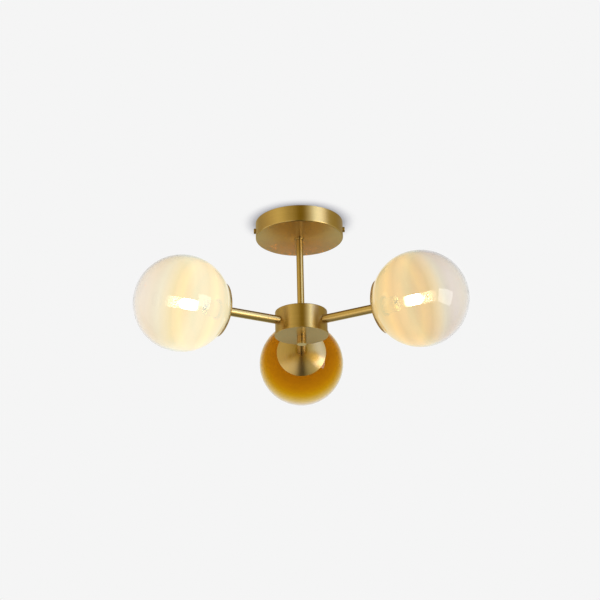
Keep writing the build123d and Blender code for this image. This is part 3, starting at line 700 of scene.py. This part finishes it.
def studio_world():
    """Plain pale background for the camera and through glass, and the studio for rough metal. Sharp mirror
    images in glass see it dark in front and pale behind the object."""
    world = bpy.data.worlds.new("studio")
    bpy.context.scene.world = world
    world.use_nodes = True
    tree = world.node_tree
    tree.nodes.clear()
    direction = parts_of(tree, node(tree, "ShaderNodeTexCoord").outputs["Generated"])
    in_glass = ranged(tree, direction["Y"], 0.40, 0.97, low=0.05, high=BACKGROUND[0])
    path = rays(tree)
    mirrored = mix_shaders(
        tree,
        path["Is Singular Ray"],
        background(tree, studio_room(tree, direction)),
        background(tree, (1, 1, 1, 1), in_glass),
    )
    plain = maths(tree, "MAXIMUM", path["Is Camera Ray"], path["Is Transmission Ray"])
    sky = mix_shaders(tree, plain, mirrored, background(tree, (*BACKGROUND, 1)))
    node(tree, "ShaderNodeOutputWorld", {"Surface": sky})


studio_world()

# ---- Lights -------------------------------------------------------------------------------------------

KEY_TARGET = Vector((0, 0, -0.12))
KEY_DIRECTION = Vector((0.80, -0.56, -0.16)).normalized()
KEY_DISTANCE = 1.7
KEY_WIDTH, KEY_HEIGHT = 1.00, 0.80
KEY_POWER = 9.5


def key_softbox():
    light = bpy.data.lights.new("key_softbox", "AREA")
    light.shape = "RECTANGLE"
    light.size, light.size_y = KEY_WIDTH, KEY_HEIGHT
    light.energy = KEY_POWER
    made = bpy.data.objects.new("key_softbox", light)
    made.location = KEY_TARGET + KEY_DIRECTION * KEY_DISTANCE
    made.rotation_mode = "QUATERNION"
    made.rotation_quaternion = (-KEY_DIRECTION).to_track_quat("-Z", "Y")
    made.visible_camera = False
    made.visible_transmission = False
    bpy.context.scene.collection.objects.link(made)


key_softbox()

LAMP_POWER = {1: 0.01, 2: 0.005, 3: 0.005}
LAMP_COLOUR = (1.0, 0.86, 0.66)
LAMP_RADIUS = 0.004
LAMP_SET_BACK = 0.008  # from the globe's centre toward the arm


def lamp_light(number, angle):
    """The light that a lit capsule throws on what is round it."""
    light = bpy.data.lights.new(f"lamp_light_{number}", "POINT")
    light.energy = LAMP_POWER[number]
    light.color = LAMP_COLOUR
    light.shadow_soft_size = LAMP_RADIUS
    made = bpy.data.objects.new(f"lamp_light_{number}", light)
    made.location = globe_centre(angle) - outward(angle) * LAMP_SET_BACK
    made.visible_camera = False
    bpy.context.scene.collection.objects.link(made)


for arm_number, arm_angle in ARM_ANGLES.items():
    lamp_light(arm_number, arm_angle)

# ---- Camera -------------------------------------------------------------------------------------------

CAMERA_PLACE = (-0.0095, -1.464, -0.670)
CAMERA_YAW, CAMERA_PITCH, CAMERA_ROLL = (math.radians(a) for a in (0.33, 20.84, -1.25))
FOCAL_PIXELS, IMAGE_PIXELS, SENSOR = 1162.1, 600, 36.0


def make_camera():
    data = bpy.data.cameras.new("camera")
    data.sensor_width = SENSOR
    data.lens = FOCAL_PIXELS / IMAGE_PIXELS * SENSOR
    data.clip_start, data.clip_end = 0.05, 50
    forward = Vector(
        (
            math.sin(CAMERA_YAW) * math.cos(CAMERA_PITCH),
            math.cos(CAMERA_YAW) * math.cos(CAMERA_PITCH),
            math.sin(CAMERA_PITCH),
        )
    )
    level = Vector((math.cos(CAMERA_YAW), -math.sin(CAMERA_YAW), 0))
    rise = level.cross(forward)
    right = level * math.cos(CAMERA_ROLL) + rise * math.sin(CAMERA_ROLL)
    up = rise * math.cos(CAMERA_ROLL) - level * math.sin(CAMERA_ROLL)
    camera = bpy.data.objects.new("camera", data)
    camera.matrix_world = Matrix(
        (
            (right.x, up.x, -forward.x, CAMERA_PLACE[0]),
            (right.y, up.y, -forward.y, CAMERA_PLACE[1]),
            (right.z, up.z, -forward.z, CAMERA_PLACE[2]),
            (0, 0, 0, 1),
        )
    )
    bpy.context.scene.collection.objects.link(camera)
    bpy.context.scene.camera = camera


make_camera()
bpy.context.scene.view_settings.view_transform = "Standard"
